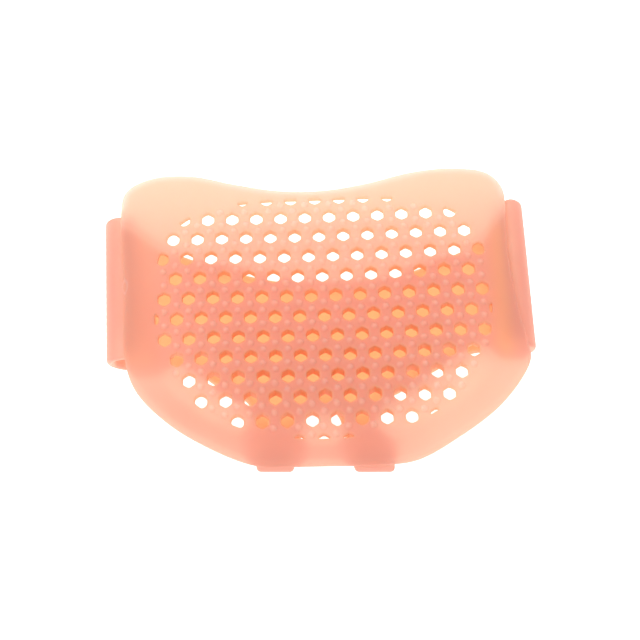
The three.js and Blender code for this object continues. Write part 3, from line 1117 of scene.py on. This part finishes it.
# %% Make the sole pad
gel_pad = mesh_object("gel_pad", xyz, all_faces, depth=depth, wall=walls)
spot_z = pad_underside + thickness(nub_spots[:, 0], nub_spots[:, 1])
nub_markers = mesh_object("nub_markers", np.column_stack([nub_spots, spot_z]), [])
raise_nubs = raise_nubs_tree(pad_gel)
bake(
    gel_pad,
    raise_nubs,
    nub_spots=nub_markers,
    nub_radius=nub_radius / 1000,
    nub_height=nub_height / 1000,
    material=pad_gel,
)
bpy.data.objects.remove(nub_markers)
print("Sole pad with nubs:", len(gel_pad.data.polygons), "faces")

# %% [markdown]
# ## The instep band
# The band holds the pad on the foot: it goes over the instep, and two narrow straps pass between the toes.
# Its folds could be bent by a modifier, but then their exact place is hard to set. So the band is drawn
# flat, as it would be cut, and then wrapped along a path. A fold's path is made of two quarter ellipses:
# a wide one up from the floor, and a tight one in to the flange.

# %% The path round a fold
half = band_thickness / 2


def fold_path(bend, reach, steps=24):
    """From the floor, round a fold at 0 that opens to the right, up to its flange: x, z, outward x, z."""
    centre = pad_underside - bend
    low = np.linspace(1.5 * math.pi, math.pi, steps)
    high = np.linspace(math.pi, 0.5 * math.pi, steps)[1:]
    arcs = [(reach, reach - half, centre - half, low), (bend, bend - half, bend - half, high)]
    rows = []
    for middle, rx, rz, angles in arcs:
        for a in angles:
            out = np.array([math.cos(a) / rx, math.sin(a) / rz])
            out /= np.linalg.norm(out)
            rows.append((middle + rx * math.cos(a), centre + rz * math.sin(a), *out))
    return np.array(rows)


def developed(path):
    """Length along a path at each of its points."""
    return np.concatenate([[0], np.cumsum(np.linalg.norm(np.diff(path[:, :2], axis=0), axis=1))])


def follow(path, lengths, s):
    """Point and outward direction of a path at a length. Past its end it runs on straight."""
    x, z, nx, nz = (np.interp(s, lengths, path[:, k]) for k in range(4))
    past = np.clip(s - lengths[-1], 0, None)
    return x + past, z, nx, nz


side_path = fold_path(side_bend, side_reach)
toe_path = fold_path(toe_bend, toe_reach)
print("A side fold's path is", developed(side_path)[-1].round(1), "mm long, a toe strap's",
      developed(toe_path)[-1].round(1), "mm")

# %% [markdown]
# ## Wrap the band
# Across the foot the band's middle surface runs from one flange down a fold, over the floor and up to the
# other flange. The toe straps do the same to the front. The real folds lean a little, so at the end the
# toe folds are tilted and the right side is slid outwards.

# %% Wrap the flat band
side_lengths, toe_lengths = developed(side_path), developed(toe_path)
left_floor = left_fold + side_reach
right_floor = right_fold - side_reach
toe_floor = toe_fold + toe_reach
side_flange = side_overhang + flange_lap - side_path[-1, 0]  # the straight end past a fold
toe_flange = toe_overhang + flange_lap - toe_path[-1, 0]
u_low = left_floor - side_lengths[-1] - side_flange
u_high = right_floor + side_lengths[-1] + side_flange
v_low = toe_floor - toe_lengths[-1] - toe_flange
print("Drawn flat the band is", round(u_high - u_low, 1), "mm wide before its corners are rounded")


def wrap(u, v, out):
    """Flat places u, v and a distance out from the middle surface, as points in space."""
    x, y, z = u.copy(), v.copy(), np.full_like(u, half) - out
    left = (u < left_floor, left_floor, left_fold, 1)
    right = (u > right_floor, right_floor, right_fold, -1)
    for beyond, floor, fold, way in (left, right):
        inwards, height, out_x, out_z = follow(side_path, side_lengths, np.abs(u[beyond] - floor))
        x[beyond] = fold + way * (inwards + out_x * out[beyond])
        z[beyond] = height + out_z * out[beyond]
    toes = (v < toe_floor) & (u > left_floor) & (u < right_floor)
    inwards, height, out_y, out_z = follow(toe_path, toe_lengths, toe_floor - v[toes])
    y[toes] = toe_fold + inwards + out_y * out[toes]
    z[toes] = height + out_z * out[toes]
    y -= toe_fold_lean * x / pad_half_width * np.clip((toe_floor - v) / toe_reach, 0, 1)
    right_half = x > 0
    x[right_half] += lean(y[right_half]) * x[right_half] / right_fold
    return np.column_stack([x, y, z])


# %% [markdown]
# ## The band's cut
# The band is hollowed out towards the heel, and a round window parts the two toe straps. Its edges are
# known as they look from above, so they are carried back along the folds to the flat cut.

# %% The band's flat outline
def plan_x(u):
    """Where places across the flat cut lie, seen from above."""
    return wrap(np.atleast_1d(np.asarray(u, float)), np.zeros(np.size(u)), np.zeros(np.size(u)))[:, 0]


def strap_edge(name, v):
    """An edge of a toe strap on the flat cut."""
    y = wrap(np.zeros(len(v)), v, np.zeros(len(v)))[:, 1]
    return np.column_stack([strap_x(name, y), v])


cut_step = 0.5
strap_gap = 0.4
strap_start = 1.0  # how far inside the band a strap's edges start
arc_x = (strap_x("left_inner", arc_y) + strap_x("right_inner", arc_y)) / 2
flat_across = np.arange(u_low, u_high, cut_step)
heel = np.column_stack([flat_across, heel_edge(plan_x(flat_across))])[::-1]
toe = np.column_stack([flat_across, toe_edge(plan_x(flat_across))])
strap_root = toe_edge(arc_x) + strap_start
down = np.arange(strap_root, v_low, -cut_step)
below_arc = down[down < arc_y]
arc_points = 17
turn = np.radians(np.linspace(180, 0, arc_points))
arc = np.column_stack([arc_x + window_radius * np.cos(turn), arc_y + window_radius * np.sin(turn)])
left_outer, right_outer = (
    edge[edge[:, 1] < toe_edge(edge[:, 0]) - strap_gap]
    for edge in (strap_edge("left_outer", down), strap_edge("right_outer", down))
)
band_loop = np.concatenate([
    heel,
    toe[toe[:, 0] < left_outer[0, 0] - strap_gap],
    left_outer,
    strap_edge("left_inner", below_arc)[::-1],
    arc[1:-1],
    strap_edge("right_inner", below_arc),
    right_outer[::-1],
    toe[toe[:, 0] > right_outer[0, 0] + strap_gap],
])
even_count, corner_rounds, band_count = 620, 5, 560
band_loop = relax(resample(band_loop, even_count), corner_rounds)
band_loop = counter_clockwise(resample(band_loop, band_count))
print("Flat cut:", (band_loop.max(0) - band_loop.min(0)).round(1), "mm,", round(area_of(band_loop)), "mm2")

# %% [markdown]
# ## Two faces and a round edge
# The band is a wall of even thickness whose edge is fully round, as a mould leaves it. Both faces come
# from one triangulation, moved out from the middle surface by half the thickness, and less at the edge.

# %% Build the band
band_steps = (0.1, 0.3, 0.6, 0.98)
band_fill_step = 1.0
last_ring_gap = 0.55
edge_gap = 0.6

band_rings, rings_away = rings_of([band_loop], band_steps)
band_fill = hex_grid(band_loop.min(0), band_loop.max(0), band_fill_step)
band_fill = band_fill[inside(band_fill, band_loop)]
band_fill = thin_out(band_fill, np.concatenate([band_loop, inset(band_loop, band_steps[3])]), last_ring_gap)
band_fill = thin_out(band_fill, inset(band_loop, band_steps[1]), edge_gap)
band_loose = np.concatenate([band_rings, band_fill])
band_away = np.concatenate([rings_away, np.full(len(band_fill), far)])
kept = inside(band_loose, band_loop)
band_points, band_faces = triangulate(band_loop, [], band_loose[kept])
band_away = np.concatenate([np.zeros(len(band_loop)), band_away[kept]])
swell = half * quarter_circle(band_away, half)
flat_x, flat_y = band_points[:, 0], band_points[:, 1]
outer_face = wrap(flat_x, flat_y, swell)
inner_face = wrap(flat_x, flat_y, -swell)
both_sides = np.concatenate([outer_face, inner_face])
merged = np.arange(len(band_points)) + len(band_points)
merged[:len(band_loop)] = np.arange(len(band_loop))
band_all = np.concatenate([band_faces[:, ::-1], merged[band_faces]])
print("Both faces:", len(both_sides), "points,", len(band_all), "triangles")

# %% [markdown]
# ## The band's own depth
# Light passes the flat band once, but it runs down inside the wall of a fold, which looks deeper.
# The rounded edge of every fold stays pale. The steepness of the sheet tells the two apart, so it sets the
# depth here, and the part that is seen through the holes gets a painted amber glow, as their walls do.

# %% Depth of the band
flat_depth = 2.9
steep_depth = 1.7
fold_depth = 1.1
fold_edge_light = 2.2
edge_depth = 0.55
fold_edge_width = 1.5
band_glow_share = 0.75
field_reach = 1.2
field_blur = 0.25
steep_gain = 1.3
fold_reach = 1.2  # how many bends of a fold the deeper gel reaches in from its outermost line
fold_edge_reach = 1.6

middle_face = wrap(flat_x, flat_y, np.zeros(len(flat_x)))
height_apart = np.abs(outer_face[:, 2] - inner_face[:, 2])
steep = smooth(steep_gain * np.clip(1 - height_apart / band_thickness, 0, 1))
edge_share = swell / half
band_x, band_y = middle_face[:, 0], middle_face[:, 1]
to_fold = np.minimum(band_x - left_fold, right_fold + lean(band_y) - band_x)
folded = smooth(fold_reach - to_fold / side_bend)
outermost = smooth(fold_edge_reach - to_fold / fold_edge_width)
under_field = smooth((field_reach - field_radius(band_x, band_y - parallax)) / field_blur)
band_depth = flat_depth + steep_depth * steep + fold_depth * folded - fold_edge_light * outermost
band_depth = band_depth * (edge_depth + (1 - edge_depth) * edge_share)
# painted glow: the band seen through the holes is tinted amber, as their lit walls are
band_glow = band_glow_share * under_field * (1 - steep) * edge_share
band_depth, band_glow = np.tile(band_depth, 2), np.tile(band_glow, 2)  # the same for both faces
gel_band = mesh_object("gel_band", both_sides, band_all, depth=band_depth, wall=band_glow)
gel_band.data.materials.append(band_gel)
print("Band depth from", band_depth.min().round(2), "to", band_depth.max().round(2), "mm")

# %% [markdown]
# ## Bind the pieces to the model
# The real thing is soft all over, and nothing on it turns or slides. So both pieces stand for their CAD
# nodes and ride on the one body.

# %% Bind
for piece, node in ((gel_pad, "sole_pad"), (gel_band, "instep_band")):
    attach(piece, "root")
    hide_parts(node)
print("Bound:", gel_pad.name, "and", gel_band.name)

# %% [markdown]
# ## Studio
# Gel shows its colour only with light behind it. So the floor is a glowing white sheet, as on a light
# table, and the room is white too. One large soft light from the upper left gives the nubs their shape.

# %% Floor, room and light
floor_half_side = 3.0  # metres, as all lengths from here on
floor_glow = 0.85
room_glow = 0.8
key_size = 0.5
key_watts = 2.0
key_place = (-0.45, 0.35, 0.7)


def floor_sheet():
    """A large white sheet that glows by itself."""
    signs = ((-1, -1), (1, -1), (1, 1), (-1, 1))
    corners = [(floor_half_side * x, floor_half_side * y, 0) for x, y in signs]
    mesh = bpy.data.meshes.new("floor")
    mesh.from_pydata(corners, [], [(0, 1, 2, 3)])
    made = bpy.data.objects.new("floor", mesh)
    bpy.context.scene.collection.objects.link(made)
    material = bpy.data.materials.new("floor_white")
    material.use_nodes = True
    shader = material.node_tree.nodes["Principled BSDF"]
    shader.inputs["Base Color"].default_value = (0.9, 0.9, 0.9, 1)
    shader.inputs["Roughness"].default_value = 0.8
    shader.inputs["Emission Color"].default_value = (1, 1, 1, 1)
    shader.inputs["Emission Strength"].default_value = floor_glow
    mesh.materials.append(material)
    return made


floor = floor_sheet()

world = bpy.data.worlds.new("studio")
world.use_nodes = True
backdrop = world.node_tree.nodes["Background"]
backdrop.inputs["Color"].default_value = (1, 1, 1, 1)
backdrop.inputs["Strength"].default_value = room_glow
bpy.context.scene.world = world

key_data = bpy.data.lights.new("key", "AREA")
key_data.size = key_size
key_data.energy = key_watts
key = bpy.data.objects.new("key", key_data)
key.location = key_place
key.rotation_euler = (-key.location).to_track_quat("-Z", "Y").to_euler()
bpy.context.scene.collection.objects.link(key)
print("Light of", key_watts, "W at", key_place, "m")

# %% [markdown]
# ## Camera and lens
# The camera looks down steeply on the sole through a long lens, which keeps the grid of holes even. Where
# a picture is overexposed, the white spills a little over what stands before it. A Glare node does that.

# %% Camera and bloom
target = Vector((-0.00011, -0.00090, 0.0135))
camera_distance = 0.4602
camera_elevation = math.radians(72.36)
camera_azimuth = math.radians(-2.17)
back = Vector((
    math.sin(camera_azimuth) * math.cos(camera_elevation),
    -math.cos(camera_azimuth) * math.cos(camera_elevation),
    math.sin(camera_elevation),
))
camera_data = bpy.data.cameras.new("camera")
camera_data.sensor_width = 36
camera_data.lens = 112.7
camera = bpy.data.objects.new("camera", camera_data)
camera.location = target + back * camera_distance
camera.rotation_euler = back.to_track_quat("Z", "Y").to_euler()
bpy.context.scene.collection.objects.link(camera)
bpy.context.scene.camera = camera
bpy.context.scene.view_settings.view_transform = "Standard"


def lens_glow(amount, size):
    """Lets the white light table bloom a little over the gel's edges, as in a lens."""
    scene = bpy.context.scene
    scene.use_nodes = True
    tree = scene.node_tree
    tree.nodes.clear()
    layers = tree.nodes.new("CompositorNodeRLayers")
    glare = tree.nodes.new("CompositorNodeGlare")
    glare.glare_type = "BLOOM"
    glare.inputs["Threshold"].default_value = 0.95
    glare.inputs["Strength"].default_value = amount
    glare.inputs["Size"].default_value = size
    out = tree.nodes.new("CompositorNodeComposite")
    tree.links.new(layers.outputs["Image"], glare.inputs["Image"])
    tree.links.new(glare.outputs["Image"], out.inputs["Image"])


lens_glow(amount=0.15, size=0.2)
print("Camera at", [round(value, 3) for value in camera.location], "m")
